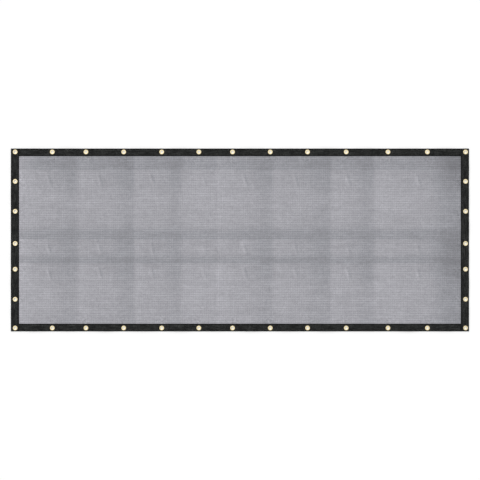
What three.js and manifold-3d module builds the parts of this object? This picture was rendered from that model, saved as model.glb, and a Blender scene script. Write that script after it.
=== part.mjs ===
// A fence windscreen laid out on the ground, front face up: a knitted mesh panel, bound on all four
// sides with a folded tape that is sewn over its edge, and brass grommets set through the tape.
// Millimetres, +Z up. The origin is on the ground under the middle of the panel. +X runs along the
// long side, and +Y towards the top edge.
import * as THREE from "three";
import { mergeVertices } from "three/addons/utils/BufferGeometryUtils.js";
import Module from "manifold-3d";

// Overall size, over the tape.
const WIDTH = 3048;
const HEIGHT = 1216;

// Cloth and tape.
const SHEET_THICK = 1;
const TAPE_LAYER = 0.7; // one layer of the folded tape
const SIDE_TAPE = 55; // finished width on the left and right
const END_TAPE = 51; // finished width along the top and bottom
const TUCK = 13; // depth of the mesh's edge inside the tape's fold
const FOLD_ROUND = 1; // chamfer that stands for the tape's rounded outer fold
const CLEAR = 0.3; // gap between separate pieces

// Grommets: radii of the opening, barrel, back washer, front flange and the flange's crown.
const HOLE_RADIUS = 8;
const BARREL_RADIUS = 9;
const WASHER_RADIUS = 15;
const FLANGE_RADIUS = 16;
const CROWN_RADIUS = 12;
const WASHER_THICK = 1;
const MOUTH_RISE = 0.8; // height of the flange at the opening
const CROWN_RISE = 1.6;
const GROMMET_FACETS = 12;
const TAPE_HOLE_FACETS = 8;
const TAPE_HOLE_RADIUS = 10.2; // corner radius of the facetted hole that the barrel passes through

// Heights above the ground, from the washer up.
const TAPE_BOTTOM = WASHER_THICK + CLEAR;
const SLOT_BOTTOM = TAPE_BOTTOM + TAPE_LAYER;
const SHEET_SEAT = SLOT_BOTTOM + CLEAR;
const SLOT_TOP = SHEET_SEAT + SHEET_THICK + CLEAR;
const TAPE_TOP = SLOT_TOP + TAPE_LAYER;
const FLANGE_BOTTOM = TAPE_TOP + CLEAR;

// How the cloth lies.
const FLAT_AT_GROMMET = 20; // the tape lies flat this far to each side of a grommet
const FLAT_AT_TAPE = 6; // the mesh leaves the tape level, this far past its inner edge
const MESH_DROP_REACH = 130; // over this distance the mesh comes down from the tape to the ground
const LIFT_REACH = 190; // a lift of the tape dies out over this distance into the mesh
const SETTLE = 1.1; // what is lower than this in the folds lies flat on the ground

// Grommets along the top and bottom: distance from the left edge, and how far the tape lifts off
// the ground on its way to the next one.
const ACROSS = [
  { at: 29, topLift: 1.6, bottomLift: 2.2 },
  { at: 276, topLift: 3.4, bottomLift: 1.2 },
  { at: 500, topLift: 1.1, bottomLift: 3.0 },
  { at: 751, topLift: 2.3, bottomLift: 1.5 },
  { at: 1004, topLift: 3.0, bottomLift: 2.6 },
  { at: 1251, topLift: 1.4, bottomLift: 0.9 },
  { at: 1475, topLift: 2.7, bottomLift: 3.3 },
  { at: 1726, topLift: 0.8, bottomLift: 1.8 },
  { at: 1974, topLift: 3.1, bottomLift: 2.4 },
  { at: 2231, topLift: 2.0, bottomLift: 1.0 },
  { at: 2509, topLift: 1.2, bottomLift: 2.9 },
  { at: 2771, topLift: 2.6, bottomLift: 1.7 },
  { at: 3025, topLift: 0, bottomLift: 0 },
];

// Grommets down the left and right: distance from the top edge, and the lifts as above.
const DOWN = [
  { at: 23, leftLift: 1.3, rightLift: 2.1 },
  { at: 219, leftLift: 2.5, rightLift: 1.0 },
  { at: 418, leftLift: 1.0, rightLift: 2.8 },
  { at: 632, leftLift: 2.0, rightLift: 1.4 },
  { at: 803, leftLift: 2.9, rightLift: 2.2 },
  { at: 1003, leftLift: 1.5, rightLift: 1.1 },
  { at: 1194, leftLift: 0, rightLift: 0 },
];

// Soft ridges that run down the mesh: distance from the left edge, height, half width, and how much
// of the height is left at the bottom edge.
const UPRIGHT_RIDGES = [
  { at: 392, height: 4.4, reach: 75, kept: 0.55 },
  { at: 730, height: 5.4, reach: 85, kept: 0.75 },
  { at: 1071, height: 4.8, reach: 80, kept: 0.5 },
  { at: 1378, height: 3.8, reach: 60, kept: 0.9 },
  { at: 1706, height: 5.0, reach: 80, kept: 0.6 },
  { at: 2070, height: 5.8, reach: 90, kept: 0.7 },
  { at: 2410, height: 4.2, reach: 75, kept: 0.55 },
  { at: 2860, height: 6.1, reach: 95, kept: 0.85 },
];

// Packing folds that run across the mesh: distance from the top edge, height and half width.
const CROSS_FOLDS = [
  { at: 139, height: 4.8, reach: 48 },
  { at: 605, height: 5.4, reach: 45 },
  { at: 761, height: 4.5, reach: 40 },
];

const TAPE_COLOUR = 0x262626;
const MESH_COLOUR = 0xa0a0a5;
const BRASS_COLOUR = 0xd9b86a;

const wasm = await Module();
wasm.setup();

// A closed geometry as a solid that can be cut.
function solidOf(geometry) {
  const bare = geometry.clone();
  bare.deleteAttribute("normal");
  bare.deleteAttribute("uv");
  const merged = mergeVertices(bare, 1e-4);
  return new wasm.Manifold(
    new wasm.Mesh({
      numProp: 3,
      vertProperties: merged.attributes.position.array,
      triVerts: new Uint32Array(merged.index.array),
    }),
  );
}

// A cut solid back as a geometry.
function geometryOf(solid) {
  const mesh = solid.getMesh();
  return new THREE.BufferGeometry()
    .setAttribute("position", new THREE.BufferAttribute(mesh.vertProperties, 3))
    .setIndex(new THREE.BufferAttribute(mesh.triVerts, 1));
}

// 0 at the start and 1 from the reach on, with level ends.
const rise = (distance, reach) =>
  THREE.MathUtils.smoothstep(distance, 0, reach);

// The stretch between a grommet and the next where the tape may lift, inside the two end margins.
function span(row, next, length, margin) {
  const start = Math.max(row.at + FLAT_AT_GROMMET, margin);
  const end = Math.min(next.at - FLAT_AT_GROMMET, length - margin);
  return { start, end };
}

const ACROSS_RUN = { table: ACROSS, length: WIDTH, margin: SIDE_TAPE + FLAT_AT_TAPE };
const DOWN_RUN = { table: DOWN, length: HEIGHT, margin: END_TAPE + FLAT_AT_TAPE };

// How far the tape of one edge is off the ground at a distance along its run.
function liftAt(run, column, distance) {
  for (let i = 0; i < run.table.length - 1; i += 1) {
    const { start, end } = span(run.table[i], run.table[i + 1], run.length, run.margin);
    if (distance > start && distance < end) {
      const share = (distance - start) / (end - start);
      return run.table[i][column] * Math.sin(Math.PI * share) ** 2;
    }
  }
  return 0;
}

// The distances where the cloth is given points: both ends of each lift, two between them, and the
// crest of each fold in place of the nearest of those two.
function stationsOf(run, folds) {
  const list = [];
  for (let i = 0; i < run.table.length - 1; i += 1) {
    const { start, end } = span(run.table[i], run.table[i + 1], run.length, run.margin);
    const inner = [1 / 3, 2 / 3].map((share) => THREE.MathUtils.lerp(start, end, share));
    for (const fold of folds) {
      if (fold.at > start + FLAT_AT_GROMMET && fold.at < end - FLAT_AT_GROMMET) {
        const nearest = Math.abs(fold.at - inner[0]) < Math.abs(fold.at - inner[1]) ? 0 : 1;
        inner[nearest] = fold.at;
      }
    }
    list.push(start, ...inner, end);
  }
  return list;
}

const ACROSS_STATIONS = stationsOf(ACROSS_RUN, UPRIGHT_RIDGES);
const DOWN_STATIONS = stationsOf(DOWN_RUN, CROSS_FOLDS);

// The stations between two distances, with the two themselves as ends.
const between = (stations, from, to) => [
  from,
  ...stations.filter((at) => at > from + CLEAR && at < to - CLEAR),
  to,
];

// A soft ridge's share of its height at a distance from its crest.
const ridge = (away, reach) => 1 / (1 + (away / reach) ** 2) ** 2;

// Height of the folds above the ground at a place in the mesh. Where a ridge meets a packing fold,
// one runs into the other, so the crossing is little higher than the higher of the two.
function foldsAt(fromLeft, fromTop) {
  const down = fromTop / HEIGHT;
  let upright = 0;
  for (const { at, height, reach, kept } of UPRIGHT_RIDGES) {
    upright += height * THREE.MathUtils.lerp(1, kept, down) * ridge(fromLeft - at, reach);
  }
  let across = 0;
  for (const { at, height, reach } of CROSS_FOLDS) {
    across += height * ridge(fromTop - at, reach);
  }
  return Math.max(0, Math.hypot(upright, across) - SETTLE);
}

// Height of the mesh's underside: level in the tape's fold, and on its folds inside that.
function sheetHeight(fromLeft, fromTop) {
  const inset = {
    left: fromLeft - ACROSS_RUN.margin,
    right: WIDTH - fromLeft - ACROSS_RUN.margin,
    top: fromTop - DOWN_RUN.margin,
    bottom: HEIGHT - fromTop - DOWN_RUN.margin,
  };
  const inside = Object.values(inset).reduce((all, one) => all * rise(one, MESH_DROP_REACH), 1);
  const lifts =
    (1 - rise(inset.top, LIFT_REACH)) * liftAt(ACROSS_RUN, "topLift", fromLeft) +
    (1 - rise(inset.bottom, LIFT_REACH)) * liftAt(ACROSS_RUN, "bottomLift", fromLeft) +
    (1 - rise(inset.left, LIFT_REACH)) * liftAt(DOWN_RUN, "leftLift", fromTop) +
    (1 - rise(inset.right, LIFT_REACH)) * liftAt(DOWN_RUN, "rightLift", fromTop);
  return THREE.MathUtils.lerp(SHEET_SEAT, foldsAt(fromLeft, fromTop), inside) + lifts;
}

// The knitted mesh: a box with a point at every station, bent to the height that the cloth has there.
function meshPanel() {
  const edgeX = SIDE_TAPE - TUCK;
  const edgeY = END_TAPE - TUCK;
  const xs = between(ACROSS_STATIONS, edgeX, WIDTH - edgeX);
  const ys = between(DOWN_STATIONS, edgeY, HEIGHT - edgeY);
  const columns = xs.length - 1;
  const rows = ys.length - 1;
  const geometry = new THREE.BoxGeometry(columns, rows, SHEET_THICK, columns, rows, 1);
  const place = geometry.attributes.position;
  for (let i = 0; i < place.count; i += 1) {
    const fromLeft = xs[Math.round(place.getX(i) + columns / 2)];
    const fromTop = ys[Math.round(rows / 2 - place.getY(i))];
    const above = place.getZ(i) + SHEET_THICK / 2;
    place.setXYZ(
      i,
      fromLeft - WIDTH / 2,
      HEIGHT / 2 - fromTop,
      sheetHeight(fromLeft, fromTop) + above,
    );
  }
  return geometry;
}

// A strip of one outline, given as (distance from the outer edge, height), that follows the lift.
function ribbon(outline, stations, lift) {
  const shape = new THREE.Shape(outline.map(([x, y]) => new THREE.Vector2(x, y)));
  const steps = stations.length - 1;
  const geometry = new THREE.ExtrudeGeometry(shape, { depth: steps, steps, bevelEnabled: false });
  const place = geometry.attributes.position;
  for (let i = 0; i < place.count; i += 1) {
    const along = stations[Math.round(place.getZ(i))];
    place.setXYZ(i, along, place.getX(i), place.getY(i) + lift(along));
  }
  return geometry;
}

// One edge's folded tape, along +X from its own start, with its fold at y = 0 and its open side at
// y = width. The mesh's edge lies in the slot between its two layers.
function tape({ width, from, to, slotFrom, slotTo, stations, lift, grommets }) {
  const strip = ribbon(
    [
      [FOLD_ROUND, TAPE_BOTTOM],
      [width, TAPE_BOTTOM],
      [width, TAPE_TOP],
      [FOLD_ROUND, TAPE_TOP],
      [0, TAPE_TOP - FOLD_ROUND],
      [0, TAPE_BOTTOM + FOLD_ROUND],
    ],
    between(stations, from, to),
    lift,
  );
  const slotInner = width - TUCK - CLEAR;
  const slot = ribbon(
    [
      [slotInner, SLOT_BOTTOM],
      [width + CLEAR, SLOT_BOTTOM],
      [width + CLEAR, SLOT_TOP],
      [slotInner, SLOT_TOP],
    ],
    between(stations, slotFrom, slotTo),
    lift,
  );
  let solid = solidOf(strip).subtract(solidOf(slot));
  for (const { x, y } of grommets) {
    const hole = new THREE.CylinderGeometry(
      TAPE_HOLE_RADIUS,
      TAPE_HOLE_RADIUS,
      2 * TAPE_TOP,
      TAPE_HOLE_FACETS,
    );
    hole.rotateX(Math.PI / 2).translate(x, y, TAPE_TOP / 2);
    solid = solid.subtract(solidOf(hole));
  }
  return geometryOf(solid);
}

// A grommet: back washer, barrel and crowned front flange, closed on each other round the tape.
function grommetGeometry() {
  const profile = [
    [HOLE_RADIUS, 0],
    [WASHER_RADIUS, 0],
    [WASHER_RADIUS, WASHER_THICK],
    [BARREL_RADIUS, WASHER_THICK],
    [BARREL_RADIUS, FLANGE_BOTTOM],
    [FLANGE_RADIUS, FLANGE_BOTTOM],
    [CROWN_RADIUS, FLANGE_BOTTOM + CROWN_RISE],
    [HOLE_RADIUS, FLANGE_BOTTOM + MOUTH_RISE],
    [HOLE_RADIUS, 0],
  ].map(([radius, height]) => new THREE.Vector2(radius, height));
  return new THREE.LatheGeometry(profile, GROMMET_FACETS).rotateX(Math.PI / 2);
}

const finish = (color, roughness, metalness) =>
  new THREE.MeshStandardMaterial({ color, roughness, metalness, flatShading: true });
const meshFinish = finish(MESH_COLOUR, 0.75, 0);
const tapeFinish = finish(TAPE_COLOUR, 0.85, 0);
const brassFinish = finish(BRASS_COLOUR, 0.3, 1);

const windscreen = new THREE.Group();

function add(name, geometry, material, position = [0, 0, 0], turn = 0) {
  const mesh = new THREE.Mesh(geometry, material);
  mesh.name = name;
  mesh.position.set(...position);
  mesh.rotation.z = turn;
  windscreen.add(mesh);
}

add("mesh_panel", meshPanel(), meshFinish);

// How far the grommets of each edge stand in from it.
const inset = {
  left: ACROSS[0].at,
  right: WIDTH - ACROSS.at(-1).at,
  top: DOWN[0].at,
  bottom: HEIGHT - DOWN.at(-1).at,
};

// The side tapes run the whole height, and hold the corner grommets. The top and bottom tapes
// butt against them. Each is made along its own start, so the top and right ones run backwards.
const endTape = (column, inward, backwards) => {
  const own = (distance) => (backwards ? WIDTH - distance : distance);
  return tape({
    width: END_TAPE,
    from: SIDE_TAPE + CLEAR,
    to: WIDTH - SIDE_TAPE - CLEAR,
    slotFrom: SIDE_TAPE - CLEAR,
    slotTo: WIDTH - SIDE_TAPE + CLEAR,
    stations: ACROSS_STATIONS.map(own).sort((a, b) => a - b),
    lift: (along) => liftAt(ACROSS_RUN, column, own(along)),
    grommets: ACROSS.slice(1, -1).map(({ at }) => ({ x: own(at), y: inward })),
  });
};
const sideTape = (column, inward, backwards) => {
  const own = (distance) => (backwards ? HEIGHT - distance : distance);
  const slotEnd = END_TAPE - TUCK - CLEAR;
  return tape({
    width: SIDE_TAPE,
    from: 0,
    to: HEIGHT,
    slotFrom: slotEnd,
    slotTo: HEIGHT - slotEnd,
    stations: DOWN_STATIONS.map(own).sort((a, b) => a - b),
    lift: (along) => liftAt(DOWN_RUN, column, own(along)),
    grommets: DOWN.map(({ at }) => ({ x: own(at), y: inward })),
  });
};
const right = WIDTH / 2;
const top = HEIGHT / 2;
add("binding_bottom", endTape("bottomLift", inset.bottom, false), tapeFinish, [-right, -top, 0]);
add("binding_top", endTape("topLift", inset.top, true), tapeFinish, [right, top, 0], Math.PI);
add(
  "binding_left",
  sideTape("leftLift", inset.left, false),
  tapeFinish,
  [-right, top, 0],
  -Math.PI / 2,
);
add(
  "binding_right",
  sideTape("rightLift", inset.right, true),
  tapeFinish,
  [right, -top, 0],
  Math.PI / 2,
);

const grommet = grommetGeometry();
const twoDigits = (number) => String(number).padStart(2, "0");
ACROSS.forEach(({ at }, i) => {
  const x = at - right;
  const number = twoDigits(i + 1);
  add(`grommet_top_${number}`, grommet, brassFinish, [x, top - inset.top, 0]);
  add(`grommet_bottom_${number}`, grommet, brassFinish, [x, inset.bottom - top, 0]);
});
DOWN.slice(1, -1).forEach(({ at }, i) => {
  const y = top - at;
  const number = twoDigits(i + 1);
  add(`grommet_left_${number}`, grommet, brassFinish, [inset.left - right, y, 0]);
  add(`grommet_right_${number}`, grommet, brassFinish, [right - inset.right, y, 0]);
});

export default windscreen;
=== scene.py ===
"""A fence windscreen laid out on the ground: knitted mesh, folded tape, sewn rows, brass grommets.

Lengths are in metres unless a name ends in _mm. Places on the cloth are given from its left edge
and from its top edge, as a maker would measure them on the cutting table.
"""

import logging
import math
from collections.abc import Callable
from dataclasses import dataclass
from enum import Enum
from random import Random
from typing import ClassVar

import bmesh
import bpy
from mathutils import Matrix, Vector, noise


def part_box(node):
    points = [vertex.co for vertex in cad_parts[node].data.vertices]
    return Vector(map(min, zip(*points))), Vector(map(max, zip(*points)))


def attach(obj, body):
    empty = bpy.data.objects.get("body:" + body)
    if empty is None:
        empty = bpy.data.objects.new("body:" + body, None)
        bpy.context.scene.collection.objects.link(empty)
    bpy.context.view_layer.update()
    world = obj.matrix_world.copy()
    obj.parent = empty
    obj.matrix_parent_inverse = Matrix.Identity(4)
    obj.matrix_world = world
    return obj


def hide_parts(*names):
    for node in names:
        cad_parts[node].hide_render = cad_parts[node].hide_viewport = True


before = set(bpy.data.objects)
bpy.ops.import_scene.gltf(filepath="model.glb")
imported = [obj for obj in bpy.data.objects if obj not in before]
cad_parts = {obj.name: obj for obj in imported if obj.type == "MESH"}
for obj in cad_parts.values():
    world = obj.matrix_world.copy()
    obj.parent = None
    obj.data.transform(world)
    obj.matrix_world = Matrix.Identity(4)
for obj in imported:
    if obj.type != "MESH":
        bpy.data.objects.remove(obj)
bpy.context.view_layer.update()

log = logging.getLogger("windscreen")

MM = 0.001
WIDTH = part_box("binding_right")[1].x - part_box("binding_left")[0].x
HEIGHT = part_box("binding_top")[1].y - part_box("binding_bottom")[0].y

# Finished widths of the tapes, and the gap where they butt.
SIDE_TAPE = 55 * MM
END_TAPE = 51 * MM
TAPE_GAP = 0.3 * MM

# Heights above the ground of what a grommet clamps, from the back washer up.
TAPE_BOTTOM = 1.3 * MM
TAPE_TOP = 4.3 * MM
SHEET_MIDDLE = 2.8 * MM
FLANGE_BOTTOM = 4.6 * MM

# How the cloth lies.
FLAT_AT_GROMMET = 20 * MM
FLAT_AT_TAPE = 6 * MM
MESH_DROP_REACH = 130 * MM
LIFT_REACH = 190 * MM
SETTLE = 1.1 * MM
GROUND_LEVEL = -0.3 * MM

# Heights closer than a hair are one height. Points closer than the merge distance are one point.
HAIR = 0.01 * MM
MERGE_DISTANCE = 0.001 * MM

# Starts the draws of how far each grommet is turned.
TURN_SEED = 36

# Short names for types.
Pair = tuple[float, float]
Triple = tuple[float, float, float]
Colour = tuple[float, float, float, float]
Socket = bpy.types.NodeSocket


class Edge(Enum):
    """The four bound edges of the windscreen."""

    LEFT = "left"
    RIGHT = "right"
    TOP = "top"
    BOTTOM = "bottom"

    @property
    def upright(self) -> bool:
        """Whether the edge runs down the windscreen."""
        return self in (Edge.LEFT, Edge.RIGHT)


def smooth(distance: float, reach: float) -> float:
    """Rises from 0 to 1 over a reach, with level ends.

    Args:
        distance: How far along the rise.
        reach: Where the rise ends.

    Returns:
        The share risen.
    """
    share = min(max(distance / reach, 0.0), 1.0)
    return share * share * (3 - 2 * share)


def middle_of(node: str) -> Vector:
    """Finds the middle of a CAD node.

    Args:
        node: The node's name.

    Returns:
        The middle of its box.
    """
    low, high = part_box(node)
    return (low + high) / 2


def from_edges(
    from_left: float, from_top: float, across: float, down: float
) -> dict[Edge, Pair]:
    """Measures a place from each of the four edges.

    Args:
        from_left: Distance from the left edge.
        from_top: Distance from the top edge.
        across: Width of the border at the left and the right.
        down: Width of the border at the top and the bottom.

    Returns:
        For each edge, the distance inside its border and the distance along the edge.
    """
    return {
        Edge.LEFT: (from_left - across, from_top),
        Edge.RIGHT: (WIDTH - from_left - across, from_top),
        Edge.TOP: (from_top - down, from_left),
        Edge.BOTTOM: (HEIGHT - from_top - down, from_left),
    }


def grommet_nodes(edge: Edge) -> list[str]:
    """Lists the CAD grommets of one row, in order from the left or from the top.

    Args:
        edge: The edge that the row is on.

    Returns:
        The nodes' names. Those of an upright edge leave out the corners.
    """
    return sorted(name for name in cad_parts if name.startswith(f"grommet_{edge.value}_"))


@dataclass(frozen=True)
class Run:
    """One edge's grommets, and the lifts of the tape between them.

    Attributes:
        stops: Distance of each grommet from the left or the top end.
        lifts_mm: Height of the lift after each grommet but the last.
        length: Length of the edge.
        margin: The tape lies flat this far from either end.
    """

    stops: tuple[float, ...]
    lifts_mm: tuple[float, ...]
    length: float
    margin: float

    def arch(self, along: float) -> Pair:
        """Finds where a point is in the stretch between two grommets.

        Args:
            along: Distance along the edge.

        Returns:
            The stretch's lift, and the share of it that is reached here.
        """
        for stop, following, crest in zip(self.stops, self.stops[1:], self.lifts_mm):
            start = max(stop + FLAT_AT_GROMMET, self.margin)
            end = min(following - FLAT_AT_GROMMET, self.length - self.margin)
            if start < along < end:
                return crest * MM, math.sin(math.pi * (along - start) / (end - start)) ** 2
        return 0.0, 0.0

    def lift(self, along: float) -> float:
        """Gives the tape's height off the ground at a distance along the edge."""
        crest, share = self.arch(along)
        return crest * share


@dataclass(frozen=True)
class Ridge:
    """A soft ridge, straight down or straight across the mesh.

    Attributes:
        at_mm: Distance of its crest from the left or the top edge.
        height_mm: Height of the crest.
        reach_mm: Half width.
        kept: Share of the height left at the bottom edge.
    """

    at_mm: float
    height_mm: float
    reach_mm: float
    kept: float = 1.0

    def height(self, away_from: float, down: float = 0.0) -> float:
        """Gives the ridge's height.

        Args:
            away_from: Place across the ridge, from the same edge as at_mm.
            down: Share of the way down the windscreen.

        Returns:
            The height, in metres.
        """
        away = (away_from / MM - self.at_mm) / self.reach_mm
        return self.height_mm * MM * (1 + (self.kept - 1) * down) / (1 + away * away) ** 2


@dataclass(frozen=True)
class Crease:
    """A short slanting pinch in the mesh, left by the way it was packed.

    Attributes:
        at_mm: Distance of its middle from the left edge.
        down_mm: Distance of its middle from the top edge.
        length_mm: Length.
        strength: Share of the full height and of the painted light.
    """

    at_mm: float
    down_mm: float
    length_mm: float
    strength: float

    SLANT: ClassVar[float] = 0.3
    HALF_WIDTH_MM: ClassVar[float] = 7.5
    SHADOW_SHIFT: ClassVar[float] = 2.1
    SHADOW_SHARE: ClassVar[float] = 0.8

    def share(self, from_left: float, from_top: float, shift: float = 0.0) -> float:
        """Gives how much of the crease there is at a place, from 0 to its strength.

        Args:
            from_left: Distance from the left edge.
            from_top: Distance from the top edge.
            shift: How far the crease is moved to the right, in its own half widths.

        Returns:
            The share of the full height.
        """
        along = (from_top / MM - self.down_mm) / (self.length_mm / 2)
        if abs(along) >= 1:
            return 0.0
        middle = self.at_mm + self.SLANT * (from_top / MM - self.down_mm)
        across = (from_left / MM - middle) / self.HALF_WIDTH_MM - shift
        return self.strength * (1 - along * along) * math.exp(-across * across)

    def light(self, from_left: float, from_top: float) -> float:
        """Gives the light on the crease, less the shadow along its right side."""
        shadow = self.share(from_left, from_top, self.SHADOW_SHIFT)
        return self.share(from_left, from_top) - self.SHADOW_SHARE * shadow


@dataclass(frozen=True)
class Shade:
    """A soft band of painted shade that ends at a fold, with painted light on the knit past it.

    Attributes:
        at_mm: Distance of the fold from the left or the top edge.
        turn_mm: Width of the change at the fold.
        dark: How much painted shade darkens the knit at the fold.
        dark_reach_mm: Width of the shaded side, which lies before the fold.
        light: How much painted light brightens the knit just past the fold.
        light_reach_mm: Width of the lit side.
    """

    at_mm: float
    turn_mm: float
    dark: float = 0.0
    dark_reach_mm: float = 20.0
    light: float = 0.0
    light_reach_mm: float = 20.0

    def change(self, place: float) -> float:
        """Gives the change of brightness that the painted shade and light make at a place across
        the fold.
        """
        away = place / MM - self.at_mm
        past = 0.5 + 0.5 * math.tanh(away / self.turn_mm)
        darker = -self.dark * math.exp(-((away / self.dark_reach_mm) ** 4))
        lighter = self.light * math.exp(-((away / self.light_reach_mm) ** 2))
        return darker * (1 - past) + lighter * past


@dataclass(frozen=True)
class Lay:
    """How the whole cloth lies: the lifts of its edges, its ridges, folds and creases.

    Attributes:
        runs: The grommets and lifts of each edge.
        upright_ridges: The soft ridges down the mesh.
        cross_folds: The packing folds across it.
        creases: The short slanting pinches.
        flat_level: Height of the mesh's middle surface where it lies flat.
        crease_height: Height of a full crease.
        wrinkle_height: Height of the small wrinkles.
        wrinkle_size: Distance between the small wrinkles.
        wrinkle_squeeze: How much closer they are across the mesh than down it.
    """

    runs: dict[Edge, Run]
    upright_ridges: tuple[Ridge, ...]
    cross_folds: tuple[Ridge, ...]
    creases: tuple[Crease, ...]
    flat_level: float = 0.6 * MM
    crease_height: float = 1.5 * MM
    wrinkle_height: float = 0.9 * MM
    wrinkle_size: float = 150 * MM
    wrinkle_squeeze: float = 1.6

    # The dimension, lacunarity and octaves of the small wrinkles.
    FRACTAL: ClassVar[tuple[float, float, int]] = (0.9, 2.0, 3)

    def folds(self, from_left: float, from_top: float) -> float:
        """Gives the height of the ridges and folds at a place in the mesh."""
        upright = sum(ridge.height(from_left, from_top / HEIGHT) for ridge in self.upright_ridges)
        across = sum(fold.height(from_top) for fold in self.cross_folds)
        return max(0.0, math.hypot(upright, across) - SETTLE)

    def fine(self, from_left: float, from_top: float) -> float:
        """Gives the height of the creases and small wrinkles at a place in the mesh."""
        creased = sum(crease.share(from_left, from_top) for crease in self.creases)
        spot = Vector((from_left * self.wrinkle_squeeze, from_top, 0.0)) / self.wrinkle_size
        wrinkled = max(0.0, noise.fractal(spot, *self.FRACTAL))
        return self.crease_height * creased + self.wrinkle_height * wrinkled

    def height(self, from_left: float, from_top: float) -> float:
        """Gives the height of the mesh's middle surface.

        Args:
            from_left: Distance from the left edge.
            from_top: Distance from the top edge.

        Returns:
            The height above the ground.
        """
        across, down = self.runs[Edge.TOP].margin, self.runs[Edge.LEFT].margin
        inside = 1.0
        lifts = 0.0
        for edge, (inset, along) in from_edges(from_left, from_top, across, down).items():
            inside *= smooth(inset, MESH_DROP_REACH)
            lifts += (1 - smooth(inset, LIFT_REACH)) * self.runs[edge].lift(along)
        low = self.flat_level + self.folds(from_left, from_top) + self.fine(from_left, from_top)
        return SHEET_MIDDLE + (low - SHEET_MIDDLE) * inside + lifts


class Nodes:
    """Adds nodes to one node tree, and links or sets their inputs."""

    def __init__(self, tree: bpy.types.NodeTree) -> None:
        """Starts with an empty tree."""
        self.tree = tree
        tree.nodes.clear()

    def add(self, kind: str, **settings: object) -> bpy.types.Node:
        """Adds a node.

        Args:
            kind: The node's type.
            settings: Its properties.

        Returns:
            The node.
        """
        node = self.tree.nodes.new(kind)
        for name, value in settings.items():
            setattr(node, name, value)
        return node

    def feed(self, socket: Socket, value: object) -> None:
        """Links a socket to an input, or sets the input to a value."""
        if isinstance(value, Socket):
            self.tree.links.new(value, socket)
        else:
            socket.default_value = value

    def dress(self, node: bpy.types.Node, **inputs: object) -> None:
        """Feeds a node's inputs by name. A name's underscores stand for spaces."""
        for name, value in inputs.items():
            self.feed(node.inputs[name.replace("_", " ")], value)

    def place(self) -> Socket:
        """Gives the place on the piece, in its own coordinates."""
        return self.add("ShaderNodeTexCoord").outputs["Object"]

    def share(self, attribute: str) -> Socket:
        """Gives a value that the mesh holds at its points."""
        return self.add("ShaderNodeAttribute", attribute_name=attribute).outputs["Fac"]

    def math(self, operation: str, *values: object) -> Socket:
        """Adds a math node and gives its result."""
        node = self.add("ShaderNodeMath", operation=operation)
        for socket, value in zip(node.inputs, values):
            self.feed(socket, value)
        return node.outputs[0]

    def product(self, first: object, *others: object) -> Socket:
        """Multiplies values, from the first on."""
        for other in others:
            first = self.math("MULTIPLY", first, other)
        return first

    def vector(self, operation: str, *values: object) -> Socket:
        """Adds a vector math node and gives its vector."""
        node = self.add("ShaderNodeVectorMath", operation=operation)
        for socket, value in zip(node.inputs, values):
            self.feed(socket, value)
        return node.outputs["Vector"]

    def scaled(self, colour: object, by: Socket) -> Socket:
        """Gives a colour that is made darker or lighter by a value."""
        node = self.add("ShaderNodeVectorMath", operation="SCALE")
        self.feed(node.inputs[0], colour)
        self.feed(node.inputs["Scale"], by)
        return node.outputs["Vector"]

    def remap(
        self, value: object, low: float, high: float, to_low: float = 0.0, to_high: float = 1.0
    ) -> Socket:
        """Gives a value moved from one range to another, smoothly and held at its ends."""
        node = self.add("ShaderNodeMapRange", interpolation_type="SMOOTHSTEP")
        for socket, number in zip(node.inputs, (value, low, high, to_low, to_high)):
            self.feed(socket, number)
        return node.outputs["Result"]

    def noise(
        self, vector: object, scale: float, detail: float = 3.0, roughness: float = 0.5
    ) -> Socket:
        """Gives a noise pattern's value."""
        node = self.add("ShaderNodeTexNoise")
        self.dress(node, Vector=vector, Scale=scale, Detail=detail, Roughness=roughness)
        return node.outputs["Fac"]

    def waves(self, place: object, pitch: object) -> Socket:
        """Gives rounded ridges at a pitch: 1 on each crest and 0 between them."""
        turns = self.math("DIVIDE", place, pitch)
        return self.math("ABSOLUTE", self.math("COSINE", self.product(turns, math.pi)))

    def blend(self, share: object, first: object, second: object) -> Socket:
        """Gives a mix of two colours. The node has its sockets for colours after the others."""
        node = self.add("ShaderNodeMix", data_type="RGBA")
        for socket, value in {0: share, 6: first, 7: second}.items():
            self.feed(node.inputs[socket], value)
        return node.outputs[2]

    def apart(self, vector: object) -> bpy.types.bpy_prop_collection:
        """Gives the X, Y and Z of a vector."""
        node = self.add("ShaderNodeSeparateXYZ")
        self.feed(node.inputs[0], vector)
        return node.outputs

    def group(self, tree: bpy.types.NodeTree, **inputs: object) -> bpy.types.bpy_prop_collection:
        """Adds a node group with its inputs fed, and gives its outputs."""
        node = self.add("ShaderNodeGroup", node_tree=tree)
        self.dress(node, **inputs)
        return node.outputs

    def bump(
        self, height: object, distance: float, strength: float = 1.0, normal: object = None
    ) -> Socket:
        """Gives a normal that follows a height."""
        node = self.add("ShaderNodeBump")
        self.dress(node, Height=height, Distance=distance, Strength=strength)
        if normal is not None:
            self.feed(node.inputs["Normal"], normal)
        return node.outputs["Normal"]


Filling = Callable[[Nodes, dict], dict]
Maker = Callable[[], bpy.types.NodeTree]

FLOAT = "NodeSocketFloat"
COLOUR = "NodeSocketColor"
VECTOR = "NodeSocketVector"

# The dust's colour, how far the ribs wander, and the mean of the pattern that they make.
DUST = (0.29, 0.29, 0.275, 1)
RIB_WANDER = 8 * MM
RIB_MEAN = 0.3


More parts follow.
